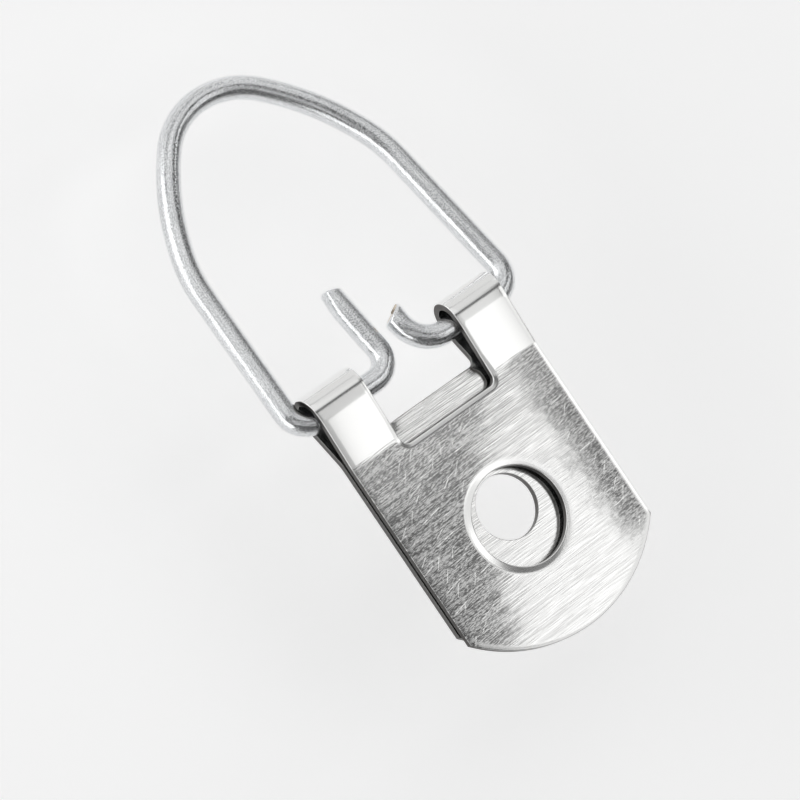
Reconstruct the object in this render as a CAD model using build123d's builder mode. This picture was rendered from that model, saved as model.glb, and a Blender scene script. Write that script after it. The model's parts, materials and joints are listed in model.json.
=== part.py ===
"""D ring picture hanger: a steel strap folded round a bent wire ring that swings in the strap's two ears.

Millimetres. The origin is the middle of the screw hole on the face that lies against the frame. +X runs
across the strap, +Y towards the top of the ring and +Z out of the front leaf.
"""
import os
from math import cos, radians, sin

from build123d import *

os.makedirs("parts", exist_ok=True)

# Strap: one blank of plated steel sheet, folded back on itself round the wire
sheet = 0.65  # thickness of the sheet
strap_width = 20.0
leaf_gap = 0.4  # daylight between the front leaf and the back leaf
front_end = 11.6  # from the screw hole to the middle of the front leaf's rounded end
back_end = 10.65  # the back leaf stops a little short of the front one
end_radius = 13.6  # of both rounded ends, which meet the sides at a corner
screw_hole = 5.5  # diameter, in the back leaf
access_hole = 8.3  # diameter, in the front leaf, where the screw's head goes in
access_offset = 1.1  # the access hole's middle lies this far below the screw hole's
hole_rim = 0.2  # edge of the access hole, drawn in by the punch
window_width = 10.0  # between the two ears
window_front = 8.75  # from the screw hole to the window's edge in the front leaf
window_back = 10.9  # the same in the back leaf
window_corner = 0.7

# Wire: one length, bent to a D whose two ends meet in the window and stand up inside the D
wire = 2.0  # diameter
corner_radius = 1.8  # bend beside each ear; all the wire's radii are those of its centre line
leg_gap = 0.62  # between a leg and the strap's side
leg_lean = 4.3  # degrees that each leg leans inwards
leg_length = 11.75
shoulder_radius = 12.0
shoulder_turn = 16.5  # degrees
flank_radius = 22.75
flank_turn = 24.0  # degrees
end_gap = 0.75  # between the two ends
gap_x = -0.05  # middle of that gap, a little to the left of the D's middle
long_end_bend = 2.0
long_end_lean = 2.5  # degrees that the long end leans away from the short one
long_end_length = 5.8  # straight part, to the middle of the cut
long_end_cut = 15.0  # degrees that the cut is off square
short_end_bend = 2.75
short_end_length = 0.85
short_end_cut = 25.0
ring_droop = 9.2  # degrees that the ring hangs below the strap's plane

# Ears: where the strap goes round the wire
wire_clearance = 0.05  # between the wire and the sheet above and below it
axis_y = 14.4  # from the screw hole to the ring's axis
roll_slack = 0.55  # the fold's middle lies this far beyond the axis
roll_flat = 0.3  # the sheet runs level over the wire from the fold to this far short of the axis
crest_rise = 0.4  # of the front leaf where it goes over the wire
front_slope_start = 9.45  # from the screw hole to where the front leaf starts to rise
back_slope_start = 10.2  # and to where the back leaf starts to bow outwards
leaf_bend = 2.5  # radius of the gentle bends between a leaf and an ear

overrun = 1.0  # how far a cut runs past what it cuts

wire_radius = wire / 2
roll_inside = wire_radius + wire_clearance
roll_outside = roll_inside + sheet
stack = 2 * sheet + leaf_gap
between_leaves = sheet + leaf_gap / 2
axis_z = stack + crest_rise - roll_outside
fold_y = axis_y + roll_slack
fold_tip = fold_y + roll_outside
half_width = strap_width / 2


def end_offcut(end_y):
    """Return what the rounded end, whose middle is at -end_y, leaves of a square-cut leaf."""
    with BuildSketch(mode=Mode.PRIVATE) as offcut:
        with Locations((0, -end_y - overrun)):
            Rectangle(strap_width + overrun, end_radius + overrun, align=(Align.CENTER, Align.MIN))
        with Locations((0, end_radius - end_y)):
            Circle(end_radius, mode=Mode.SUBTRACT)
    return offcut.sketch


def window(edge_y):
    """Return the gap between the ears, from its edge in a leaf to past the fold."""
    with BuildSketch(mode=Mode.PRIVATE) as gap:
        with Locations((0, edge_y)):
            Rectangle(window_width, fold_tip + overrun - edge_y, align=(Align.CENTER, Align.MIN))
        fillet(gap.vertices().group_by(Axis.Y)[0], window_corner)
    return gap.sketch


# The folded strip, seen from its side, then the holes and ends of each leaf
with BuildPart() as strap:
    with BuildSketch(Plane.YZ):
        with BuildLine():
            front_face = FilletPolyline(
                (-front_end, stack),
                (front_slope_start, stack),
                (axis_y - roll_flat, stack + crest_rise),
                (fold_y, stack + crest_rise),
                radius=leaf_bend,
            )
            fold = JernArc(front_face @ 1, (1, 0), roll_outside, -180)
            FilletPolyline(
                fold @ 1,
                (axis_y - roll_flat, axis_z - roll_outside),
                (back_slope_start, 0),
                (-back_end, 0),
                radius=leaf_bend,
            )
            offset(amount=sheet, side=Side.RIGHT)
        make_face()
    extrude(amount=half_width, both=True)

    with BuildSketch(Plane.XY.offset(between_leaves)):
        add(end_offcut(front_end))
        add(window(window_front))
        with Locations((0, -access_offset)):
            Circle(access_hole / 2)
    extrude(amount=stack + crest_rise, mode=Mode.SUBTRACT)
    with BuildSketch(Plane.XY.offset(between_leaves)):
        add(end_offcut(back_end))
        add(window(window_back))
        Circle(screw_hole / 2)
    extrude(amount=-2 * roll_outside, mode=Mode.SUBTRACT)

    punched_edge = (
        strap.edges()
        .filter_by(GeomType.CIRCLE)
        .filter_by(lambda edge: edge.radius == access_hole / 2)
        .sort_by(Axis.Z)[-1]
    )
    fillet(punched_edge, hole_rim)
strap.part.label = "strap"

# The wire's centre line lies in one plane, which hangs from the ring's axis
ring_plane = Plane(
    origin=(0, axis_y, axis_z),
    x_dir=(1, 0, 0),
    z_dir=(0, sin(radians(ring_droop)), cos(radians(ring_droop))),
)
corner_x = half_width + leg_gap + wire_radius - corner_radius
apex_turn = 90 - leg_lean - shoulder_turn - flank_turn
long_start_x = gap_x - (end_gap + wire) / 2 - long_end_bend * cos(radians(long_end_lean))
short_start_x = gap_x + (end_gap + wire) / 2 + short_end_bend

with BuildPart() as d_ring:
    with BuildLine(ring_plane) as centre_line:
        corner = JernArc((-corner_x, 0), (-1, 0), corner_radius, -90 - leg_lean)
        leg = PolarLine(corner @ 1, leg_length, direction=corner % 1)
        shoulder = JernArc(leg @ 1, leg % 1, shoulder_radius, -shoulder_turn)
        flank = JernArc(shoulder @ 1, shoulder % 1, flank_radius, -flank_turn)
        apex_radius = -(flank @ 1).X / sin(radians(apex_turn))
        JernArc(flank @ 1, flank % 1, apex_radius, -apex_turn)
        mirror(about=Plane.YZ)

        Line((-corner_x, 0), (long_start_x, 0))
        long_bend = JernArc((long_start_x, 0), (1, 0), long_end_bend, 90 + long_end_lean)
        PolarLine(long_bend @ 1, long_end_length + wire_radius / 2, direction=long_bend % 1)

        Line((corner_x, 0), (short_start_x, 0))
        short_bend = JernArc((short_start_x, 0), (-1, 0), short_end_bend, -90)
        PolarLine(short_bend @ 1, short_end_length + wire_radius / 2, direction=short_bend % 1)
    path = centre_line.wire()
    with BuildSketch(Plane(origin=path @ 0, z_dir=path % 0)):
        Circle(wire_radius)
    sweep(path=path)

    # Cutting pliers left both ends of the wire a little off square
    for bend, length, cut in (
        (long_bend, long_end_length, long_end_cut),
        (short_bend, short_end_length, short_end_cut),
    ):
        along = bend % 1
        slant = along.rotate(Axis((0, 0, 0), ring_plane.z_dir), cut)
        with BuildSketch(Plane(origin=bend @ 1 + along * length, z_dir=slant)):
            Circle(wire_radius + end_gap / 2)
        extrude(amount=wire_radius, mode=Mode.SUBTRACT)
d_ring.part.label = "d_ring"

export_step(strap.part, "parts/strap.step")
export_step(d_ring.part, "parts/d_ring.step")
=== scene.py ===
import json
from math import atan2, cos, hypot, pi, radians, sin, tan

import bmesh
import bpy
import numpy as np
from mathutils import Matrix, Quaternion, Vector


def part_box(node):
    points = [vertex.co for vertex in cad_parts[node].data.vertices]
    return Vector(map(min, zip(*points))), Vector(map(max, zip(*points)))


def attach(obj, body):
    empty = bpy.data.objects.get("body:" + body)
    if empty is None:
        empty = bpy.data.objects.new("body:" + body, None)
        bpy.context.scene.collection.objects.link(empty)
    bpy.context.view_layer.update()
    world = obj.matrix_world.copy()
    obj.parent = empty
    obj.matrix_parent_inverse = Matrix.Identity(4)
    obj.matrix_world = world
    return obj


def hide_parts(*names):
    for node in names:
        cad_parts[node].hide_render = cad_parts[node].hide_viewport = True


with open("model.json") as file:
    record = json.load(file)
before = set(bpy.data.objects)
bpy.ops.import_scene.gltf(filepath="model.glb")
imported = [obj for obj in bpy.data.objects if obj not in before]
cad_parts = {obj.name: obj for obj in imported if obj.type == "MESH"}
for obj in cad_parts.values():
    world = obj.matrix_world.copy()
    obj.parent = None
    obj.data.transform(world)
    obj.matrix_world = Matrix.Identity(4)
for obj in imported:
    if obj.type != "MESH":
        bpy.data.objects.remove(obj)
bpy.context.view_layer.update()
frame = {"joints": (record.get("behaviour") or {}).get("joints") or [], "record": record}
scene = bpy.context.scene
scene.view_settings.view_transform = "Standard"
mm = 0.001

# Camera
# A long lens looks down on the front of the hanger from its left side, about 40 cm away, with the
# hanger turned so that the ring points to the upper left.
camera_place = (-172.15 * mm, 27.51 * mm, 356.64 * mm)
camera_turn = [radians(angle) for angle in (13.171, -22.105, -37.112)]
lens_in_pixels = 4922
picture_width = 800
film_width = 36.0  # in real millimetres, as Blender takes it
nearest_seen = 10 * mm

camera_data = bpy.data.cameras.new("camera")
camera_data.sensor_width = film_width
camera_data.lens = film_width * lens_in_pixels / picture_width
camera_data.clip_start = nearest_seen
camera = bpy.data.objects.new("camera", camera_data)
camera.location = camera_place
camera.rotation_euler = camera_turn
scene.collection.objects.link(camera)
scene.camera = camera

# Strap
# One blank of bright plated sheet steel. The punch rounds its edges, then it is folded back on itself
# round the wire, so that two leaves lie almost together and two ears hold the ring.
strap_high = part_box("strap")[1]
half_width = strap_high.x
top_height = strap_high.z
swing_axis = Vector(frame["joints"][0]["pos_m"])
bores = {mount["name"]: mount for mount in frame["record"]["mounts"] if mount["kind"] == "bore"}
access_radius = bores["head_hole"]["dims"]["r_mm"] * mm
access_y = bores["head_hole"]["pos_m"][1]
screw_radius = bores["screw_hole"]["dims"]["r_mm"] * mm

sheet = 0.65 * mm  # thickness of the sheet
leaf_gap = 0.4 * mm  # between the two leaves
front_end = 11.6 * mm  # from the screw hole to the end of the front leaf
back_end = 10.65 * mm  # and to the end of the back leaf
end_radius = 13.6 * mm  # of both rounded ends
window_half = 5.0 * mm  # half the width between the ears
window_front = 8.75 * mm  # from the screw hole to the window's edge in the front leaf
window_back = 10.9 * mm  # the same in the back leaf
window_corner = 0.7 * mm
roll_slack = 0.55 * mm  # the fold's middle lies this far beyond the ring's axis
roll_flat = 0.3 * mm  # an ear is level from the fold to this far short of the axis
front_slope_start = 9.45 * mm  # from the screw hole to where the front leaf starts to rise
back_slope_start = 10.2 * mm  # and to where the back leaf starts to bow outwards
leaf_bend = 2.5 * mm  # radius between a leaf and an ear

stack = 2 * sheet + leaf_gap
crest_rise = top_height - stack
roll_outside = top_height - swing_axis.z
roll_middle = roll_outside - sheet / 2


def bent_line(lengths, turns, step):
    """Return length, place and heading along a line of straight and evenly curved stretches.

    The heading grows in proportion to the length within a stretch. Each small step is the chord of its
    own arc, laid along the heading halfway through it, and a place is the sum of the steps before it.
    """
    fewest_steps = 2
    lengths, turns = np.array(lengths), np.array(turns)
    counts = np.maximum(fewest_steps, np.ceil(lengths / step)).astype(int)
    steps = np.repeat(lengths / counts, counts)
    swings = np.repeat(turns / counts, counts)
    heading = np.concatenate(([0.0], np.cumsum(swings)))
    halfway = heading[:-1] + swings / 2
    chords = steps * np.sinc(swings / (2 * pi))
    along = np.concatenate(([0.0], np.cumsum(steps)))
    first = np.concatenate(([0.0], np.cumsum(chords * np.cos(halfway))))
    second = np.concatenate(([0.0], np.cumsum(chords * np.sin(halfway))))
    return along, first, second, heading


# The strap's side view: front leaf, slope, crest, half turn round the wire, and the same way back
side_step = 0.02 * mm
front_run = swing_axis.y - roll_flat - front_slope_start
back_run = swing_axis.y - roll_flat - back_slope_start
back_rise = roll_outside - swing_axis.z
front_angle = atan2(crest_rise, front_run)
back_angle = atan2(back_rise, back_run)
front_tangent = leaf_bend * tan(front_angle / 2)
back_tangent = leaf_bend * tan(back_angle / 2)
ear_level = roll_flat + roll_slack
before_fold = (
    front_end + front_slope_start - front_tangent,
    (leaf_bend + sheet / 2) * front_angle,
    hypot(front_run, crest_rise) - 2 * front_tangent,
    (leaf_bend - sheet / 2) * front_angle,
    ear_level - front_tangent,
)
half_turn = roll_middle * pi
after_fold = (
    ear_level - back_tangent,
    (leaf_bend - sheet / 2) * back_angle,
    hypot(back_run, back_rise) - 2 * back_tangent,
    (leaf_bend + sheet / 2) * back_angle,
    back_slope_start + back_end - back_tangent,
)
side_lengths = (*before_fold, half_turn, *after_fold)
side_turns = (0, front_angle, 0, -front_angle, 0, -pi, 0, -back_angle, 0, back_angle, 0)
side_along, side_y, side_z, side_heading = bent_line(side_lengths, side_turns, side_step)
side_along = side_along - front_end
side_y = side_y - front_end
side_z = side_z + stack - sheet / 2
fold_middle = -front_end + sum(before_fold) + half_turn / 2
back_hole_s = side_along[-1] - back_end

# What the punch leaves: each edge is dished on the outer face and rounded at its corner
dish_slope = tan(radians(8))
faint_slope = tan(radians(2.5))
edge_dish = 0.22 * mm  # width of the dish along the outline
window_dish = 0.42 * mm  # beside the window's front half
rim_dish = 0.68 * mm  # left of the access hole
faint_dish = 0.34 * mm  # right of the access hole
narrow_dish = 0.06 * mm  # right of the screw hole
edge_round = 0.07 * mm  # radius of the outer corner
rim_round = 0.1 * mm  # the same where the punch went in
burr_round = 0.03 * mm  # radius of the inner corner
edge_margin = 0.5 * mm  # from an edge to the flat faces
rim_margin = 0.78 * mm  # the same round the access hole
cut_onset = 16  # power of the sine by which a rounded corner takes the cut's colour, a painted dark shade

# What the bending leaves: ears that spread and flare, a flat lip between them, edges that droop
ear_spread = 0.22 * mm
inward_share = 0.25  # of the spread, at the window's side of an ear
spread_reach = 1.7 * mm
ear_middle = 11.5 * mm  # from the screw hole to where the window's wider dish ends
ear_flare = 0.14 * mm  # thinning inside an ear's outer side
flare_reach = 0.5 * mm
flare_length = 3.4 * mm  # on either side of the fold's middle
lip_half = 4.0 * mm  # half the width of the flat lip
lip_start = 9.5 * mm  # from the screw hole to where it starts
edge_droop = 0.035 * mm
droop_reach = 1.0 * mm

# How finely the strap is divided, in points
corner_points = 6
burr_points = 4
wall_points = 6
dish_points = 4
fillet_points = 9
ear_points = 130
front_yoke_points = 10
back_yoke_points = 14
across_ear_points = 15
across_window_points = 21
side_points = 36
arc_points = 61
ray_points = 26


def rim_profile(dish, corner, margin, slope):
    """Return inset, height, cut and polish of a sheared edge, from the outer face round to the inner face.

    The outer face slopes down over the dish, then turns in a quarter circle. The cut wall stands upright
    and the inner face begins in a small quarter circle. Cut is 1 on the wall and fades round its corners.
    Polish is 1 from the dish to the wall.
    """
    quarter = np.linspace(0, pi / 2, corner_points)
    small = np.linspace(0, pi / 2, burr_points)
    wall = np.linspace(0, 1, wall_points)[1:-1]
    dish_rows = np.linspace(dish, corner, dish_points)[:-1]
    inner_face = np.array([2 * burr_round, margin])
    wall_top = sheet / 2 - (dish - corner) * slope - corner
    wall_foot = -sheet / 2 + burr_round
    inset = (
        [margin],
        dish_rows,
        corner * (1 - np.sin(quarter)),
        0 * wall,
        burr_round * (1 - np.cos(small)),
        inner_face,
    )
    height = (
        [sheet / 2],
        sheet / 2 - (dish - dish_rows) * slope,
        wall_top + corner * np.cos(quarter),
        wall_top + (wall_foot - wall_top) * wall,
        wall_foot - burr_round * np.sin(small),
        0 * inner_face - sheet / 2,
    )
    cut = ([0], 0 * dish_rows, np.sin(quarter) ** cut_onset, 1 + 0 * wall, np.cos(small), 0 * inner_face)
    polish = ([0], 1 + 0 * dish_rows, 1 + 0 * quarter, 0 * wall, 0 * small, 0 * inner_face)
    return [np.concatenate(rows) for rows in (inset, height, cut, polish)]


def row_rim(loop, profile):
    """Carry an edge profile round a loop of the blank, which gives a row of points for each inset."""
    inset, height, cut, polish = profile
    x, s = loop(inset[:, None])
    columns = (x, s, height[:, None] + 0 * x, cut[:, None] + 0 * x, polish[:, None] + 0 * x)
    return np.stack(columns, axis=-1)


def mixed_rim(loop, narrow, wide, share):
    """Carry a rim round a loop that passes from one profile to another.

    Share is a function of the places x and s along the loop. The rim is the narrow one where share is 0,
    the wide one where it is 1, and between them in proportion.
    """
    first, second = row_rim(loop, narrow), row_rim(loop, wide)
    mix = share(first[-1, :, 0], first[-1, :, 1])[:, None]
    return first + (second - first) * mix


def front_s(y):
    """Length on the blank of a place y on the front leaf: y itself."""
    return y


def back_s(y):
    """Length on the blank of a place y on the back leaf: the screw hole's length less y."""
    return back_hole_s - y


# Rows across the ears and the yokes beside the window, the same on every patch that meets there
yoke_front = 7.6 * mm
yoke_back = 9.3 * mm
inner_x = window_half - window_corner
inner_bend = window_corner + edge_margin
fillet_turn = np.linspace(0, pi / 2, fillet_points)
front_fillet_s = window_front + window_corner
back_fillet_s = back_s(window_back + window_corner)
ear_rows = np.linspace(front_fillet_s, back_fillet_s, ear_points)
front_yoke_rows = np.linspace(yoke_front, front_fillet_s - inner_bend, front_yoke_points)
back_yoke_rows = np.linspace(back_fillet_s + inner_bend, back_s(yoke_back), back_yoke_points)
strip_rows = np.concatenate((
    front_yoke_rows,
    (front_fillet_s - inner_bend * np.cos(fillet_turn))[1:-1],
    ear_rows,
    (back_fillet_s + inner_bend * np.sin(fillet_turn))[1:-1],
    back_yoke_rows,
))
ear_shares = np.linspace(0, 1, across_ear_points)
window_shares = np.linspace(-1, 1, across_window_points)
side_shares = np.linspace(0, 1, side_points)
arc_shares = np.linspace(-1, 1, arc_points)
ray_shares = np.linspace(0, 1, ray_points)[:, None]


def leaf_side(inset, end, yoke, s_of):
    """Return a leaf's straight side, from the yoke down to its rounded end, and the angle of their corner.

    The corner is where the side, drawn in by the inset, meets the end's circle, drawn in by as much.
    """
    side_x = half_width - inset
    middle_y = end_radius - end
    corner_y = middle_y - np.sqrt((end_radius - inset) ** 2 - side_x ** 2)
    y = yoke + (corner_y - yoke) * side_shares
    corner_angle = np.arcsin(side_x / (end_radius - inset))
    return side_x + 0 * y, s_of(y), corner_angle


def leaf_arc(inset, end, s_of, corner_angle):
    """Return the arc of a leaf's rounded end, from its right corner to its left corner.

    A place is the circle's middle plus its radius times the sine and cosine of an angle.
    """
    radius = end_radius - inset
    angle = -corner_angle * arc_shares
    return radius * np.sin(angle), s_of(end_radius - end - radius * np.cos(angle))


def outer_loop(inset):
    """Return the outline of the whole blank, drawn in by the inset.

    It runs along the right side from front to back, round the back end, along the left side and round
    the front end. The left side is the right one mirrored.
    """
    front_x, front_side, front_corner = leaf_side(inset, front_end, yoke_front, front_s)
    back_x, back_side, back_corner = leaf_side(inset, back_end, yoke_back, back_s)
    front_arc_x, front_arc_s = leaf_arc(inset, front_end, front_s, front_corner)
    back_arc_x, back_arc_s = leaf_arc(inset, back_end, back_s, back_corner)
    middle_s = strip_rows[1:-1] + 0 * inset
    middle_x = half_width - inset + 0 * middle_s
    x = (front_x[:, ::-1], middle_x, back_x, back_arc_x[:, 1:-1])
    s = (front_side[:, ::-1], middle_s, back_side, back_arc_s[:, 1:-1])
    mirror_x = (-back_x[:, ::-1], -middle_x[:, ::-1], -front_x, -front_arc_x[:, 1:-1])
    mirror_s = (back_side[:, ::-1], middle_s[:, ::-1], front_side, front_arc_s[:, 1:-1])
    return np.concatenate(x + mirror_x, axis=1), np.concatenate(s + mirror_s, axis=1)


def window_loop(inset):
    """Return the edge of the window between the ears, drawn in from the window by the inset.

    It runs up the right ear, across the back leaf, down the left ear and across the front leaf, with a
    quarter circle at each corner.
    """
    bend = window_corner + inset
    ear_s = ear_rows[1:-1] + 0 * inset
    ear_x = window_half + inset + 0 * ear_s
    lip_x = inner_x * window_shares[1:-1] + 0 * inset
    front_lip_s = front_fillet_s - bend + 0 * lip_x
    back_lip_s = back_fillet_s + bend + 0 * lip_x
    front_bend_x = inner_x + bend * np.sin(fillet_turn)
    front_bend_s = front_fillet_s - bend * np.cos(fillet_turn)
    back_bend_x = inner_x + bend * np.cos(fillet_turn)
    back_bend_s = back_fillet_s + bend * np.sin(fillet_turn)
    x = (front_bend_x, ear_x, back_bend_x, -lip_x)
    s = (front_bend_s, ear_s, back_bend_s, back_lip_s)
    mirror_x = (-back_bend_x[:, ::-1], -ear_x[:, ::-1], -front_bend_x[:, ::-1], lip_x)
    mirror_s = (back_bend_s[:, ::-1], ear_s[:, ::-1], front_bend_s[:, ::-1], front_lip_s)
    return np.concatenate(x + mirror_x, axis=1), np.concatenate(s + mirror_s, axis=1)


def leaf_outline(end, yoke, s_of):
    """Return the inner border of a leaf's edge, closed across the leaf by the yoke's first row."""
    margin = np.array([[edge_margin]])
    side_x, side_s, corner = leaf_side(margin, end, yoke, s_of)
    arc_x, arc_s = leaf_arc(margin, end, s_of, corner)
    ear_x = inner_x + (half_width - edge_margin - inner_x) * ear_shares
    yoke_x = np.concatenate((-ear_x[:0:-1], inner_x * window_shares, ear_x[1:-1]))[1:]
    x = np.concatenate((side_x[0], arc_x[0, 1:-1], -side_x[0, ::-1], yoke_x))
    s = np.concatenate((side_s[0], arc_s[0, 1:-1], side_s[0, ::-1], s_of(yoke + 0 * yoke_x)))
    return x, s


def face_patch(x, s, side):
    """Return a patch of the sheet's outer face, side 1, or inner face, side -1, with no cut or polish."""
    return np.stack((x, s, side * sheet / 2 + 0 * x, 0 * x, 0 * x), axis=-1)


def leaf_patches(end, yoke, s_of, hole_y, hole_radius, narrow, wide):
    """Return both faces of a leaf and the rim of its hole.

    Each face is ruled: straight rays run from the hole's edge to the leaf's outline. The rim is a circle
    whose profile is wide at its left and narrow at its right.
    """
    x, s = leaf_outline(end, yoke, s_of)
    middle_s = s_of(hole_y)
    angle = np.arctan2(s - middle_s, x)

    def hole_edge(inset):
        """Return the circle about the hole's middle, larger than the hole by the inset."""
        return (hole_radius + inset) * np.cos(angle), middle_s + (hole_radius + inset) * np.sin(angle)

    def left_share(x, s):
        """Return half of 1 less x over the hole's radius, kept between 0 and 1."""
        return np.clip((1 - x / hole_radius) / 2, 0, 1)

    widest_inset = wide[0][0]
    near_x, near_s = hole_edge(widest_inset)
    ray_x = near_x + (x - near_x) * ray_shares
    ray_s = near_s + (s - near_s) * ray_shares
    faces = [face_patch(ray_x, ray_s, side) for side in (1, -1)]
    return faces + [mixed_rim(hole_edge, narrow, wide, left_share)]


def strip_patches():
    """Return both faces of the two ears, with the yokes at their ends, and of the yokes between them.

    An ear is ruled across, from the window's edge to the strap's side. At the window's corners that edge
    is a quarter circle: the bend times the root of 1 less the squared depth into the corner.
    """
    front_depth = np.clip((front_fillet_s - strip_rows) / inner_bend, 0, 1)
    back_depth = np.clip((strip_rows - back_fillet_s) / inner_bend, 0, 1)
    depth = np.maximum(front_depth, back_depth)
    window_x = (inner_x + inner_bend * np.sqrt(1 - depth ** 2))[:, None]
    ear_x = window_x + (half_width - edge_margin - window_x) * ear_shares
    ear_s = strip_rows[:, None] + 0 * ear_x
    patches = []
    for side in (1, -1):
        patches += [face_patch(ear_x, ear_s, side), face_patch(-ear_x, ear_s, side)]
        for rows in (front_yoke_rows, back_yoke_rows):
            lip_x = inner_x * window_shares + 0 * rows[:, None]
            patches.append(face_patch(lip_x, rows[:, None] + 0 * lip_x, side))
    return patches


def smooth_step(value, low, high):
    """Return 0 below low, 1 above high and between them 3 times the share's square less twice its cube."""
    share = np.clip((value - low) / (high - low), 0, 1)
    return share ** 2 * (3 - 2 * share)


def fold_blank(flat):
    """Take places on the flat blank, (x, s, height), to the folded strap.

    A place goes to the side view's point at its length s, moved by its height along the sheet's normal.
    The ears spread sideways by a bell curve about the fold. The sheet droops towards the leaf's edges and
    is thinned from inside towards the ears' outer sides, both by a falling exponential of the distance.
    Between the ears the back leaf's lip stays flat.
    """
    x, s, height = flat[..., 0], flat[..., 1], flat[..., 2]
    spread = ear_spread * np.exp(-(((s - fold_middle) / spread_reach) ** 2))
    outer_share = np.clip((np.abs(x) - window_half) / (half_width - window_half), 0, 1)
    x_out = x + np.sign(x) * spread * (outer_share - inward_share)
    from_front = end_radius - np.hypot(x, np.minimum(s - end_radius + front_end, 0))
    from_side = half_width - np.abs(x)
    from_edge = np.maximum(np.minimum(from_front, from_side), 0)
    droop = edge_droop * np.exp(-from_edge / droop_reach) * (s < fold_middle)
    in_ear = np.exp(-(((s - fold_middle) / flare_length) ** 4))
    flare = ear_flare * in_ear * np.exp(-from_side / flare_reach)
    depth_share = 1 / 2 - height / sheet
    offset = height - droop + flare * depth_share
    heading = np.interp(s, side_along, side_heading)
    y = np.interp(s, side_along, side_y) - offset * np.sin(heading)
    z = np.interp(s, side_along, side_z) + offset * np.cos(heading)
    between_ears = 1 - smooth_step(np.abs(x), lip_half, window_half)
    flat_share = between_ears * (s > fold_middle) * (s < back_s(lip_start))
    y = y + (back_hole_s - s - y) * flat_share
    z = z + (sheet / 2 - offset - z) * flat_share
    return np.stack((x_out, y, z), axis=-1)


same_place = 0.0005 * mm  # two corners that lie closer than this are one


def piece_from_patches(name, patches, shape, closed):
    """Join patches into one closed shell and return its object.

    A patch is rows of places, each with its cut and its polish. Shape takes the places to where they
    really are, and closed says which patches join their last column to their first.
    """
    corners, quads, count = [], [], 0
    for patch, joined in zip(patches, closed):
        rows, columns = patch.shape[:2]
        index = count + np.arange(rows * columns).reshape(rows, columns)
        if joined:
            index = np.concatenate((index, index[:, :1]), axis=1)
        ring = (index[:-1, :-1], index[:-1, 1:], index[1:, 1:], index[1:, :-1])
        quads.append(np.stack(ring, axis=-1).reshape(-1, 4))
        corners.append(patch.reshape(-1, patch.shape[-1]))
        count += rows * columns
    corners, quads = np.concatenate(corners), np.concatenate(quads)
    mesh = bpy.data.meshes.new(name)
    mesh.from_pydata(shape(corners), [], quads)
    laid = mesh.attributes.new("laid_flat", "FLOAT_VECTOR", "POINT")
    laid.data.foreach_set("vector", corners[:, :3].astype(np.float32).ravel())
    for column, mask in enumerate(("cut", "polish"), start=3):
        values = corners[:, column].astype(np.float32)
        mesh.attributes.new(mask, "FLOAT", "POINT").data.foreach_set("value", values)
    shell = bmesh.new()
    shell.from_mesh(mesh)
    bmesh.ops.remove_doubles(shell, verts=shell.verts, dist=same_place)
    bmesh.ops.recalc_face_normals(shell, faces=shell.faces)
    shell.to_mesh(mesh)
    shell.free()
    mesh.shade_smooth()
    piece = bpy.data.objects.new(name, mesh)
    scene.collection.objects.link(piece)
    return piece


wall_shift = (0.2, 0.35)  # gives the cut walls, which stand upright, some width in the UV map


def lay_uv(piece):
    """Unfold the piece in millimetres: U is x and V is s, each shifted by its share of the height."""
    mesh = piece.data
    flat = np.zeros(len(mesh.vertices) * 3, np.float32)
    mesh.attributes["laid_flat"].data.foreach_get("vector", flat)
    corner_vertex = np.zeros(len(mesh.loops), np.int32)
    mesh.loops.foreach_get("vertex_index", corner_vertex)
    flat = flat.reshape(-1, 3)[corner_vertex] / mm
    uv = flat[:, :2] + flat[:, 2:] * wall_shift
    mesh.uv_layers.new(name="unfolded").data.foreach_set("uv", uv.ravel())


plain_edge = rim_profile(edge_dish, edge_round, edge_margin, dish_slope)
window_edge = rim_profile(window_dish, rim_round, edge_margin, dish_slope)
crisp_edge = rim_profile(narrow_dish, burr_round, edge_margin, dish_slope)
punched_edge = rim_profile(rim_dish, rim_round, rim_margin, dish_slope)
faint_edge = rim_profile(faint_dish, edge_round, rim_margin, faint_slope)


def front_share(x, s):
    """Return 1 beside the front leaf, 0 past the ears' middle, and a straight fall between them."""
    return np.clip((ear_middle - s) / spread_reach, 0, 1)


strap_patches = strip_patches()
strap_closed = [False] * len(strap_patches)
front_leaf = leaf_patches(front_end, yoke_front, front_s, access_y, access_radius, faint_edge, punched_edge)
back_leaf = leaf_patches(back_end, yoke_back, back_s, 0.0, screw_radius, crisp_edge, plain_edge)
outer_rim = row_rim(outer_loop, plain_edge)
window_rim = mixed_rim(window_loop, plain_edge, window_edge, front_share)
for patch in (*front_leaf, *back_leaf, outer_rim, window_rim):
    strap_patches.append(patch)
    strap_closed.append(True)
strap = piece_from_patches("folded_strap", strap_patches, fold_blank, strap_closed)
lay_uv(strap)


def add_node(tree, kind, inputs=(), **settings):
    """Add a shader node. Inputs pairs a socket's name or number with a value, or with a socket to link."""
    node = tree.nodes.new("ShaderNode" + kind)
    for name, value in settings.items():
        setattr(node, name, value)
    for key, value in dict(inputs).items():
        if isinstance(value, bpy.types.NodeSocket):
            tree.links.new(value, node.inputs[key])
        else:
            node.inputs[key].default_value = value
    return node


def calculate(tree, operation, *values):
    """Add a Math node and return its result."""
    return add_node(tree, "Math", dict(enumerate(values)), operation=operation).outputs[0]


def weigh(tree, start, *parts):
    """Return a start value plus some parts, each given as a value and its weight."""
    total = start
    for value, weight in parts:
        total = calculate(tree, "MULTIPLY_ADD", value, weight, total)
    return total


def multiply(tree, *values):
    """Return the product of two or more values."""
    product = values[0]
    for value in values[1:]:
        product = calculate(tree, "MULTIPLY", product, value)
    return product


def rest_of(tree, share):
    """Return 1 less a share."""
    return calculate(tree, "SUBTRACT", 1.0, share)


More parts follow.
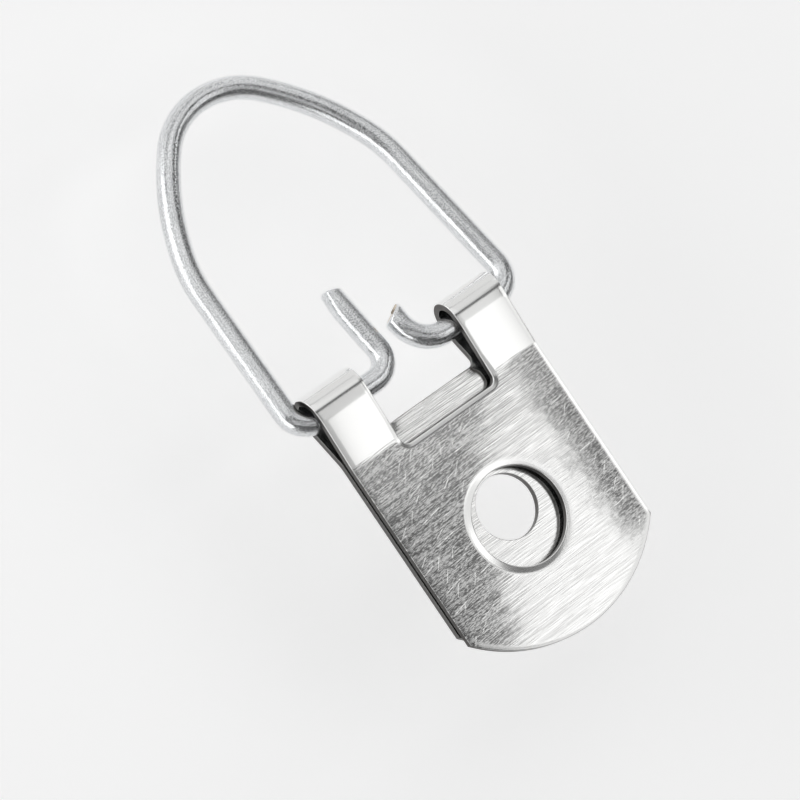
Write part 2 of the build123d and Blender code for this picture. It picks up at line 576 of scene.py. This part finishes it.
def spread_range(tree, value, low, high, new_low=0.0, new_high=1.0):
    """Add a smooth Map Range node and return its result."""
    ends = {"Value": value, "From Min": low, "From Max": high, "To Min": new_low, "To Max": new_high}
    return add_node(tree, "MapRange", ends, interpolation_type="SMOOTHSTEP").outputs["Result"]


def mix_values(tree, share, first, second):
    """Return the first value where the share is 0 and the second where it is 1."""
    return add_node(tree, "Mix", {"Factor": share, "A": first, "B": second}).outputs[0]


def mix_colours(tree, share, first, second):
    """Return the first colour where the share is 0 and the second where it is 1."""
    return add_node(tree, "MixRGB", {"Fac": share, "Color1": first, "Color2": second}).outputs[0]


def scale_vector(tree, vector, scale):
    """Return a vector times a number."""
    return add_node(tree, "VectorMath", {0: vector, "Scale": scale}, operation="SCALE").outputs[0]


def turn_vector(tree, vector, angle, axis):
    """Return a vector turned about one of the three axes."""
    ends = {"Vector": vector, "Angle": angle}
    return add_node(tree, "VectorRotate", ends, rotation_type=axis + "_AXIS").outputs[0]


def effect_group(name, inputs, outputs):
    """Start a node group with vector inputs where the value is None and number inputs elsewhere.

    Return its tree, the sockets that give the inputs and those that take the outputs.
    """
    tree = bpy.data.node_groups.new(name, "ShaderNodeTree")
    for socket, value in inputs.items():
        kind = "NodeSocketVector" if value is None else "NodeSocketFloat"
        made = tree.interface.new_socket(name=socket, in_out="INPUT", socket_type=kind)
        if value is not None:
            made.default_value = value
    for socket in outputs:
        tree.interface.new_socket(name=socket, in_out="OUTPUT", socket_type="NodeSocketFloat")
    return tree, tree.nodes.new("NodeGroupInput").outputs, tree.nodes.new("NodeGroupOutput").inputs


def make_drawn_lines():
    """Fine straight lines, as a brush, a roll or a die leaves them.

    Place is in millimetres with the lines along its first axis. The lines are noise that is stretched to
    Length along and squeezed to Width across, turned by Slant, with its middle greys drawn apart.
    """
    darkest, lightest = 0.36, 0.64
    defaults = {"Place": None, "Length": 2.0, "Width": 0.1, "Slant": 0.0}
    tree, given, result = effect_group("drawn_lines", defaults, ("Line",))
    turned = turn_vector(tree, given["Place"], given["Slant"], "Z")
    along = calculate(tree, "DIVIDE", 1.0, given["Length"])
    across = calculate(tree, "DIVIDE", 1.0, given["Width"])
    scale = add_node(tree, "CombineXYZ", {"X": along, "Y": across, "Z": across}).outputs[0]
    squeezed = add_node(tree, "VectorMath", {0: turned, 1: scale}, operation="MULTIPLY").outputs[0]
    noise = add_node(tree, "TexNoise", {"Vector": squeezed, "Scale": 1.0, "Detail": 0.0})
    tree.links.new(spread_range(tree, noise.outputs["Fac"], darkest, lightest), result["Line"])
    return tree


def make_stray_scratches():
    """Short straight scratches here and there, as loose parts give each other in a box.

    Place, in millimetres, is divided into cells about Spacing wide. A cell's colour says whether it holds
    a scratch, as a share Often of the cells do, and how far, within Swing, it turns from Angle. The
    scratch is a strip, Length long and Width wide, that fades out from its middle line and to its ends.
    """
    side_fade = (1.4, 0.4)  # shares of the half width between which a scratch comes up
    end_fade = (1.1, 0.7)  # shares of the half length
    defaults = {
        "Place": None, "Angle": 0.5, "Swing": 0.3, "Length": 1.2, "Width": 0.1, "Spacing": 2.0, "Often": 0.5
    }
    tree, given, result = effect_group("stray_scratches", defaults, ("Scratch",))
    scaled = scale_vector(tree, given["Place"], calculate(tree, "DIVIDE", 1.0, given["Spacing"]))
    cells = add_node(tree, "TexVoronoi", {"Vector": scaled, "Scale": 1.0}, voronoi_dimensions="2D").outputs
    offset = add_node(tree, "VectorMath", {0: scaled, 1: cells["Position"]}, operation="SUBTRACT")
    offset = scale_vector(tree, offset.outputs[0], given["Spacing"])
    lot = add_node(tree, "SeparateColor", {"Color": cells["Color"]}).outputs
    swing = multiply(tree, calculate(tree, "SUBTRACT", lot["Green"], 1 / 2), given["Swing"])
    angle = calculate(tree, "ADD", given["Angle"], swing)
    turned = turn_vector(tree, offset, multiply(tree, angle, -1.0), "Z")
    place = add_node(tree, "SeparateXYZ", {"Vector": turned}).outputs
    half_length = multiply(tree, given["Length"], 1 / 2)
    half_breadth = multiply(tree, given["Width"], 1 / 2)
    along = calculate(tree, "DIVIDE", calculate(tree, "ABSOLUTE", place["X"]), half_length)
    across = calculate(tree, "DIVIDE", calculate(tree, "ABSOLUTE", place["Y"]), half_breadth)
    chosen = calculate(tree, "LESS_THAN", lot["Red"], given["Often"])
    strip = multiply(tree, spread_range(tree, across, *side_fade), spread_range(tree, along, *end_fade))
    tree.links.new(multiply(tree, strip, chosen), result["Scratch"])
    return tree


def make_cloudiness():
    """Soft patches of a plating that took unevenly: noise with its middle greys drawn apart.

    Place is in millimetres and Size is about a patch.
    """
    darkest, lightest = 0.3, 0.7
    octaves = 3.0
    tree, given, result = effect_group("cloudiness", {"Place": None, "Size": 3.0}, ("Cloud",))
    scale = calculate(tree, "DIVIDE", 1.0, given["Size"])
    noise = add_node(tree, "TexNoise", {"Vector": given["Place"], "Scale": scale, "Detail": octaves})
    tree.links.new(spread_range(tree, noise.outputs["Fac"], darkest, lightest), result["Cloud"])
    return tree


drawn_lines = make_drawn_lines()
stray_scratches = make_stray_scratches()
cloudiness = make_cloudiness()


def use_effect(tree, effect, place, values):
    """Place an effect's group in a material, with its values, and return its output."""
    node = tree.nodes.new("ShaderNodeGroup")
    node.node_tree = effect
    tree.links.new(place, node.inputs["Place"])
    for name, value in values.items():
        node.inputs[name].default_value = value
    return node.outputs[0]


def start_metal(name):
    """Start a metal and return its material, tree and shader, and a piece's places before it was bent."""
    material = bpy.data.materials.new(name)
    material.use_nodes = True
    tree = material.node_tree
    shader = tree.nodes["Principled BSDF"]
    shader.inputs["Metallic"].default_value = 1.0
    laid = add_node(tree, "Attribute", attribute_name="laid_flat").outputs["Vector"]
    return material, tree, shader, scale_vector(tree, laid, 1 / mm)


def emboss(tree, shader, height):
    """Raise the surface by the depth of a fine scratch where the height is 1."""
    scratch_depth = 0.004 * mm
    bump = add_node(tree, "Bump", {"Strength": 1.0, "Distance": scratch_depth, "Height": height})
    tree.links.new(bump.outputs[0], shader.inputs["Normal"])


# The sheet's lines, clouds and scratches: lengths in millimetres on the flat blank, angles in radians
long_grain = {"Length": 6.0, "Width": 0.1}
fine_grain = {"Length": 1.6, "Width": 0.075, "Slant": -0.02}
short_grain = {"Length": 0.36, "Width": 0.075, "Slant": -0.2}
cross_grain = {"Length": 0.3, "Width": 0.065, "Slant": 0.4}
sheet_cloud = {"Size": 3.5}
sheet_speckle = {"Size": 0.5}
flat_scratches = {"Angle": 0.15, "Swing": 0.3, "Length": 2.2, "Width": 0.09, "Spacing": 1.9, "Often": 0.75}
steep_scratches = {"Angle": 0.75, "Swing": 0.6, "Length": 1.2, "Width": 0.09, "Spacing": 1.4, "Often": 0.4}

# Where the sheet shows rubbing and carries a painted dark reflection: each pair is where a mask begins and
# where it is full, in millimetres, and the ragged values are how far its border is pushed to and fro
ragged_by_cloud = 1.2
ragged_by_grain = 1.2
ragged_by_speckle = 0.6
ragged_lengthwise = 0.5
wear_and_shade_slant = -0.55  # how far the left mask's border leans
wear_and_shade_left = (1.6, -3.4)
wear_and_shade_right = (7.2, 10.0)
above_corner = (-9.0, -6.0)
below_slope = (10.0, 9.6)
past_fold = (22.0, 23.0)
beside_left_edge = (-9.0, -9.5)
upper_leaf = (2.0, 9.0)

# The sheet's shades, from 0 for dark metal to 1 for bright metal, and its colours
smooth_tone = 0.98  # round the fold and on the dished edges
clean_tone = 0.72  # between the lines of the clean leaf
clean_top_painted_shade = -0.18  # painted shade: added to it high on the leaf
painted_shade_tone = 0.11  # painted shade: the dark tone between the strokes where the leaf shows wear
worn_by_line = 0.6
worn_by_scratch = 0.55
# Painted light: lightens the part with wear high on the leaf
worn_top_painted_light = 0.2
cross_weight = 0.24
short_weight = 0.34
grain_weight = 0.42
cloud_weight = 0.1
faint_and_full = (0.2, 0.88)  # sums of strokes that are dark and bright
dark_metal = (0.04, 0.04, 0.04, 1)
bright_metal = (0.9, 0.9, 0.89, 1)
# Painted shade: the cut walls take a nearly black brown in place of grey bare steel
cut_painted_shade = (0.022, 0.017, 0.014, 1)
cut_shade_strength = 0.9
sheet_roughness = 0.15
worn_roughness = 0.1
cut_roughness = 0.16
clean_relief = 0.7
scratch_relief = -0.8
brushed_spread = 0.5  # how far a highlight is drawn out along the strap, from 0 to 1
quarter_turn = 0.25  # of a full turn


def bright_plated_sheet():
    """Bright plated steel, brushed across the strap, scratched and given a painted dark reflection on its
    left half and beside its right edge, painted dark brown shade where it is cut.
    """
    material, tree, shader, place = start_metal("bright_plated_sheet")
    cut = add_node(tree, "Attribute", attribute_name="cut").outputs["Fac"]
    dished = add_node(tree, "Attribute", attribute_name="polish").outputs["Fac"]
    cloud = use_effect(tree, cloudiness, place, sheet_cloud)
    speckle = use_effect(tree, cloudiness, place, sheet_speckle)
    long_line, fine_line, short_line, cross_line = [
        use_effect(tree, drawn_lines, place, grain)
        for grain in (long_grain, fine_grain, short_grain, cross_grain)
    ]
    grain = weigh(tree, 0.0, (fine_line, 1 / 2), (long_line, 1 / 2))
    strokes = weigh(tree, 0.0, (cross_line, cross_weight), (short_line, short_weight))
    strokes = weigh(tree, strokes, (grain, grain_weight), (cloud, cloud_weight))

    # The leaf shows wear from rubbing on its left half and in a band beside its right edge, with strokes
    # and scratches, and both zones also carry a painted dark reflection in their tone. Of the dished edges
    # only the left one shares the rubbing and the painted reflection.
    flat = add_node(tree, "SeparateXYZ", {"Vector": place}).outputs
    ragged_x = weigh(
        tree, flat["X"], (cloud, ragged_by_cloud), (grain, ragged_by_grain), (speckle, ragged_by_speckle)
    )
    ragged_y = weigh(tree, flat["Y"], (grain, ragged_lengthwise))
    left = spread_range(tree, weigh(tree, ragged_x, (flat["Y"], wear_and_shade_slant)), *wear_and_shade_left)
    right = spread_range(tree, ragged_x, *wear_and_shade_right)
    right = multiply(tree, right, spread_range(tree, ragged_y, *above_corner))
    on_front = spread_range(tree, ragged_y, *below_slope)
    on_back = spread_range(tree, ragged_y, *past_fold)
    inside_left = rest_of(tree, spread_range(tree, flat["X"], *beside_left_edge))
    undished = rest_of(tree, multiply(tree, dished, inside_left))
    brushed = multiply(tree, calculate(tree, "MAXIMUM", on_front, on_back), undished)
    wear_and_painted_shade = multiply(tree, calculate(tree, "MAXIMUM", left, right), on_front, undished)
    scratch = [use_effect(tree, stray_scratches, place, kind) for kind in (flat_scratches, steep_scratches)]
    scratched = multiply(tree, calculate(tree, "MAXIMUM", *scratch), wear_and_painted_shade)

    # Painted shade and light: higher on the leaf the clean part is darker and the part with wear lighter.
    top = multiply(tree, spread_range(tree, flat["Y"], *upper_leaf), on_front)
    clean = mix_values(tree, grain, weigh(tree, clean_tone, (top, clean_top_painted_shade)), 1.0)
    worn_line = spread_range(tree, strokes, *faint_and_full)
    rubbed_tone_with_painted_shade = weigh(
        tree, painted_shade_tone, (worn_line, worn_by_line), (scratched, worn_by_scratch), (top, worn_top_painted_light)
    )
    # The mask's dark tone is a painted reflection; its lines and scratches are real wear.
    tone = mix_values(tree, brushed, smooth_tone, mix_values(tree, wear_and_painted_shade, clean, rubbed_tone_with_painted_shade))
    plating = mix_colours(tree, tone, dark_metal, bright_metal)
    # Painted shade: the cut walls are painted nearly black brown, darker than bare cut steel.
    colour = mix_colours(tree, multiply(tree, cut, cut_shade_strength), plating, cut_painted_shade)
    roughness = weigh(tree, sheet_roughness, (wear_and_painted_shade, worn_roughness), (cut, cut_roughness))
    tree.links.new(colour, shader.inputs["Base Color"])
    tree.links.new(roughness, shader.inputs["Roughness"])

    # The brushing spreads a highlight along the strap, across its lines
    tangent = add_node(tree, "Tangent", direction_type="UV_MAP", uv_map="unfolded")
    tree.links.new(tangent.outputs[0], shader.inputs["Tangent"])
    shader.inputs["Anisotropic"].default_value = brushed_spread
    shader.inputs["Anisotropic Rotation"].default_value = quarter_turn
    relief = mix_values(tree, wear_and_painted_shade, multiply(tree, grain, clean_relief), worn_line)
    emboss(tree, shader, weigh(tree, multiply(tree, relief, brushed), (scratched, scratch_relief)))
    return material


strap.data.materials.append(bright_plated_sheet())
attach(strap, "strap")
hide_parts("strap")

# Ring
# One length of satin plated steel wire, bent to a D. Both ends run through the ears and stand up inside
# the D, with a gap between them, each cut off with pliers a little off square.
wire_radius = 1.0 * mm
left_corner = 1.8 * mm  # radius of the bend beside the ear; all radii are those of the centre line
right_corner = 2.1 * mm
leg_gap = 0.62 * mm  # between the left leg and the strap's side
leg_lean = radians(4.3)  # of each leg, inwards
leg_length = 11.75 * mm
shoulder_radius = 12.0 * mm
shoulder_turn = radians(16.5)
flank_radius = 22.75 * mm
flank_turn = radians(24.0)
end_gap = 0.75 * mm  # between the two ends, before the long one was pushed left
gap_x = -0.05 * mm
long_set = 0.2 * mm
long_bend = 2.0 * mm
long_lean = radians(2.5)  # away from the short end
long_length = 5.95 * mm
short_bend = 2.75 * mm
short_length = 0.85 * mm
ring_droop = radians(9.2)  # below the strap's plane
play_turn = radians(1.28)  # to the left, above the ears
play_shift = 0.23 * mm  # to the right
play_reach = 3.0 * mm

# Places on the D, from its middle: the line of a leg meets the line of the base at leg_foot
corner_turn = pi / 2 + leg_lean
corner_reach = tan(corner_turn / 2)  # from there to where the bend starts, in radii
leg_foot = half_width + leg_gap + wire_radius + left_corner * (corner_reach - 1)
left_start = leg_foot - left_corner * corner_reach
right_start = leg_foot - right_corner * corner_reach
right_leg = leg_length - (right_corner - left_corner) * corner_reach
apex_turn = pi / 2 - leg_lean - shoulder_turn - flank_turn
leg_top_x = leg_foot - (leg_length + left_corner * corner_reach) * sin(leg_lean)
flank_end_x = leg_top_x - (
    shoulder_radius * (cos(leg_lean) - sin(apex_turn + flank_turn))
    + flank_radius * (sin(apex_turn + flank_turn) - sin(apex_turn))
)
apex_radius = flank_end_x / sin(apex_turn)
long_start = gap_x - long_set - end_gap / 2 - wire_radius - long_bend * cos(long_lean)
short_start = gap_x + end_gap / 2 + wire_radius + short_bend
long_turn = pi / 2 + long_lean
left_base = left_start + long_start
right_base = right_start - short_start

# The wire's stretches and their turns, from the tip of the long end round to the tip of the short end
ring_step = 0.3 * mm
ring_stretches = (
    (long_length, 0),
    (long_bend * long_turn, -long_turn),
    (left_base, 0),
    (left_corner * corner_turn, -corner_turn),
    (leg_length, 0),
    (shoulder_radius * shoulder_turn, -shoulder_turn),
    (flank_radius * flank_turn, -flank_turn),
    (2 * apex_radius * apex_turn, -2 * apex_turn),
    (flank_radius * flank_turn, -flank_turn),
    (shoulder_radius * shoulder_turn, -shoulder_turn),
    (right_leg, 0),
    (right_corner * corner_turn, -corner_turn),
    (right_base, 0),
    (short_bend * pi / 2, -pi / 2),
    (short_length, 0),
)
ring_lengths, ring_turns = zip(*ring_stretches)
ring_along, ring_u, ring_v, ring_heading = bent_line(ring_lengths, ring_turns, ring_step)

# The line starts straight, so it is turned to its first heading and set down at the left corner
first_heading = long_lean - pi / 2
turned_u = ring_u * cos(first_heading) - ring_v * sin(first_heading)
turned_v = ring_u * sin(first_heading) + ring_v * cos(first_heading)
ring_heading = ring_heading + first_heading
to_left_corner = long_length + long_bend * long_turn + left_base
corner_row = np.argmin(np.abs(ring_along - to_left_corner))
ring_u = turned_u - turned_u[corner_row] - left_start
ring_v = turned_v - turned_v[corner_row]


def wire_shape(flat):
    """Take places on the straight wire, (across, up, along), to the bent wire.

    A place goes to the centre line's point at its length, moved across along the line's left side and
    up along the normal of the ring's plane, which hangs from the ears by the droop. The D's base stays
    straight. Above it the D is turned by its play, which grows by a smooth step.
    """
    across, up, along = flat[..., 0], flat[..., 1], flat[..., 2]
    heading = np.interp(along, ring_along, ring_heading)
    beyond = along - np.clip(along, ring_along[0], ring_along[-1])
    u = np.interp(along, ring_along, ring_u) - across * np.sin(heading) + beyond * np.cos(heading)
    v = np.interp(along, ring_along, ring_v) + across * np.cos(heading) + beyond * np.sin(heading)
    turn = play_turn * smooth_step(v, 0, play_reach)
    x = play_shift + u * np.cos(turn) - v * np.sin(turn)
    v = u * np.sin(turn) + v * np.cos(turn)
    y = swing_axis.y + v * cos(ring_droop) + up * sin(ring_droop)
    z = swing_axis.z - v * sin(ring_droop) + up * cos(ring_droop)
    return np.stack((x, y, z), axis=-1)


# The tips: both are cut off aslant, the long one is pinched and the short one has a burr
wire_points = 48
tip_points = 7
tip_round = 0.25 * mm
long_cut = tan(radians(15))
long_cut_reach = 1.2 * mm
short_cut = tan(radians(-25))
short_cut_reach = 0.8 * mm
pinch = 0.34
pinch_reach = 1.1 * mm
burr_height = 0.15 * mm
burr_reach = 0.15 * mm
burr_sharpness = 20  # power of the cosine round the wire


def straight_wire():
    """Return the straight wire as one patch of circles along it, with the cut's mask on its end faces.

    A circle's radius falls to nothing at each end, through a quarter circle of the tip's rounding. Near
    an end, by a falling exponential, the circles lean with the cut. A bell curve flattens the long end
    on one side, and a high power of the cosine draws the burr out on the short end.
    """
    turn = np.linspace(0, 2 * pi, wire_points, endpoint=False)
    tip_turn = np.linspace(0, pi / 2, tip_points)
    falling = tip_round * (1 - np.sin(tip_turn))
    rising = tip_round * (1 - np.cos(tip_turn))
    end_face = np.array([0.0, wire_radius / 2])
    middle = ring_along[1:-1]
    total = ring_along[-1]
    radius = np.concatenate((
        end_face, wire_radius - falling, wire_radius + 0 * middle, wire_radius - rising, end_face[::-1]
    ))[:, None]
    along = np.concatenate((0 * end_face, rising, middle, total - falling, total + 0 * end_face))[:, None]

    near_long = np.exp(-along / long_cut_reach)
    near_short = np.exp(-(total - along) / short_cut_reach)
    near_pinch = np.exp(-((along / pinch_reach) ** 2))
    near_burr = np.exp(-(total - along) / burr_reach)
    across = radius * np.cos(turn)
    up = radius * np.sin(turn)
    lengthwise = along + (long_cut * near_long + short_cut * near_short) * across
    lengthwise = lengthwise + burr_height * near_burr * np.clip(-np.cos(turn), 0, 1) ** burr_sharpness
    across = across * (1 - pinch * near_pinch * (1 - np.cos(turn)) / 2)
    cut = (radius < wire_radius - tip_round + same_place) + 0 * across
    return np.stack((across, up, lengthwise, cut, 0 * across), axis=-1)


ring = piece_from_patches("bent_wire_ring", [straight_wire()], wire_shape, [True])

# The wire's streaks, specks and clouds in millimetres, its shades from 0 to 1, and its colours
wire_streaks = {"Length": 3.0, "Width": 0.1}
wire_specks = {"Length": 0.13, "Width": 0.1}
wire_cloud = {"Size": 2.5}
wire_tone = 0.5
tone_by_cloud = 0.1
tone_by_streak = 0.15
tone_by_speck = 0.3
dark_zinc = (0.28, 0.29, 0.3, 1)
bright_zinc = (0.87, 0.88, 0.89, 1)
bare_steel = (0.62, 0.55, 0.46, 1)
wire_roughness = 0.16
speck_roughness = 0.08
streak_relief = 0.25


def satin_plated_wire():
    """Satin zinc over drawn wire: streaks along the wire, fine specks and a slightly clouded plating."""
    material, tree, shader, place = start_metal("satin_plated_wire")
    lengthwise = turn_vector(tree, place, pi / 2, "Y")
    streak = use_effect(tree, drawn_lines, lengthwise, wire_streaks)
    speck = use_effect(tree, drawn_lines, lengthwise, wire_specks)
    cloud = use_effect(tree, cloudiness, place, wire_cloud)
    cut = add_node(tree, "Attribute", attribute_name="cut").outputs["Fac"]
    tone = weigh(tree, wire_tone, (cloud, tone_by_cloud), (streak, tone_by_streak), (speck, tone_by_speck))
    plating = mix_colours(tree, tone, dark_zinc, bright_zinc)
    tree.links.new(mix_colours(tree, cut, plating, bare_steel), shader.inputs["Base Color"])
    roughness = weigh(tree, wire_roughness, (speck, speck_roughness))
    tree.links.new(roughness, shader.inputs["Roughness"])
    emboss(tree, shader, weigh(tree, speck, (streak, streak_relief)))
    return material


ring.data.materials.append(satin_plated_wire())
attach(ring, "ring")
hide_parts("d_ring")

# Floor
# A pale sheet of card lies below, just clear of the ring where it hangs lowest. It looks almost white
# to the camera and in the metal, and still takes the hanger's shadow.
floor_height = -13.6 * mm
floor_half = 3.0  # half the card's side, in metres
floor_colour = (0.9, 0.9, 0.9, 1)
floor_roughness = 0.9
floor_glow = 0.33

square = ((-1, -1), (1, -1), (1, 1), (-1, 1))
floor_corners = [(x * floor_half, y * floor_half, floor_height) for x, y in square]
floor_mesh = bpy.data.meshes.new("floor")
floor_mesh.from_pydata(floor_corners, [], [(0, 1, 2, 3)])
floor = bpy.data.objects.new("floor", floor_mesh)
scene.collection.objects.link(floor)


def pale_card():
    """Matt pale card that glows a little to rays from the camera and to those that metal mirrors."""
    material = bpy.data.materials.new("pale_card")
    material.use_nodes = True
    tree = material.node_tree
    shader = tree.nodes["Principled BSDF"]
    shader.inputs["Base Color"].default_value = floor_colour
    shader.inputs["Roughness"].default_value = floor_roughness
    rays = add_node(tree, "LightPath").outputs
    seen = calculate(tree, "MAXIMUM", rays["Is Camera Ray"], rays["Is Glossy Ray"])
    seen = calculate(tree, "MAXIMUM", seen, rays["Is Transmission Ray"])
    tree.links.new(multiply(tree, seen, floor_glow), shader.inputs["Emission Color"])
    shader.inputs["Emission Strength"].default_value = 1.0
    return material


floor_mesh.materials.append(pale_card())


# Studio light
# Eight level soft boxes hang about 30 cm above, laid out so that the leaf, the slopes and the fold each
# mirror a bright or a grey patch. Two large ones stand on the left, and the room beyond is dim, but for a
# low haze behind the ring.
def soft_box(name, place, aim, width, height, brightness, roll=0.0):
    """Add a soft box. Brightness is how white its face looks: 1 is white."""
    lamp = bpy.data.lights.new(name, "AREA")
    lamp.shape = "RECTANGLE"
    lamp.size = width
    lamp.size_y = height
    lamp.energy = brightness * pi * width * height
    box = bpy.data.objects.new(name, lamp)
    direction = Vector(aim) - Vector(place)
    turn = direction.to_track_quat("-Z", "Y") @ Quaternion((0, 0, 1), roll)
    box.rotation_euler = turn.to_euler()
    box.location = place
    scene.collection.objects.link(box)


def hanging_box(name, corner, width, height, brightness, roll):
    """Hang a level soft box by its left back corner, about which it is turned by roll."""
    across = Vector((cos(roll), sin(roll), 0))
    back = Vector((-sin(roll), cos(roll), 0))
    middle = Vector(corner) + across * width / 2 - back * height / 2
    soft_box(name, middle, middle - Vector((0, 0, 1)), width, height, brightness, roll)


# Level boxes: name, x, y and height of the corner, width, depth, brightness and turn in degrees
ceiling = 300 * mm
level_boxes = (
    ("soft_box_key", 158 * mm, 10 * mm, ceiling, 320 * mm, 110 * mm, 0.8, -34),
    ("soft_box_right", 204 * mm, 12 * mm, ceiling, 400 * mm, 80 * mm, 1.3, 0),
    ("soft_box_dim", -250 * mm, 8 * mm, ceiling + 10 * mm, 430 * mm, 130 * mm, 0.44, 0),
    ("soft_box_strip", 60 * mm, 11 * mm, ceiling, 125 * mm, 14 * mm, 0.8, 0),
    ("soft_box_fold", 155 * mm, 135 * mm, ceiling, 22 * mm, 63 * mm, 0.42, 0),
    ("soft_box_far_right", 155 * mm, 400 * mm, ceiling, 365 * mm, 265 * mm, 0.38, 0),
    ("soft_box_behind", -400 * mm, 400 * mm, ceiling, 555 * mm, 328 * mm, 0.48, 0),
    ("soft_box_front", 60 * mm, -124 * mm, ceiling, 300 * mm, 150 * mm, 0.8, 0),
)
for name, x, y, z, width, depth, brightness, turned in level_boxes:
    hanging_box(name, (x, y, z), width, depth, brightness, radians(turned))

# Standing boxes, aimed at the hanger: name, x, y, height, width, height of the face and brightness
standing_boxes = (
    ("soft_box_left_back", -485 * mm, 390 * mm, 170 * mm, 580 * mm, 330 * mm, 1.25),
    ("soft_box_left", -600 * mm, -120 * mm, 190 * mm, 560 * mm, 380 * mm, 1.45),
)
for name, x, y, z, width, height, brightness in standing_boxes:
    soft_box(name, (x, y, z), (0, 0, 0), width, height, brightness)

# The room: each row is where a change begins and ends in a direction's x, y or z, then both strengths,
# or else 0 and 1
beyond_ring = (0.08, 0.28, 0.06, 0.4)
haze_height = (0.5, 0.56, 0.8, 0.0)
haze_beyond = (0.3, 0.6)
low_room = (0.44, 0.22, 0.0, 0.36)
left_room = (0.15, -0.05, 0.0, 0.15)

white = (1, 1, 1, 1)
world = bpy.data.worlds.new("studio")
scene.world = world
world.use_nodes = True
room = world.node_tree
sky = add_node(room, "TexCoord").outputs["Generated"]
direction = add_node(room, "SeparateXYZ", {"Vector": sky}).outputs
haze = spread_range(room, direction["Z"], *haze_height)
haze = multiply(room, haze, spread_range(room, direction["Y"], *haze_beyond))
glow = calculate(room, "MAXIMUM", spread_range(room, direction["Y"], *beyond_ring), haze)
glow = calculate(room, "MAXIMUM", glow, spread_range(room, direction["Z"], *low_room))
glow = calculate(room, "MAXIMUM", glow, spread_range(room, direction["X"], *left_room))
backdrop = room.nodes["Background"]
room.links.new(glow, backdrop.inputs["Strength"])
backdrop.inputs["Color"].default_value = white
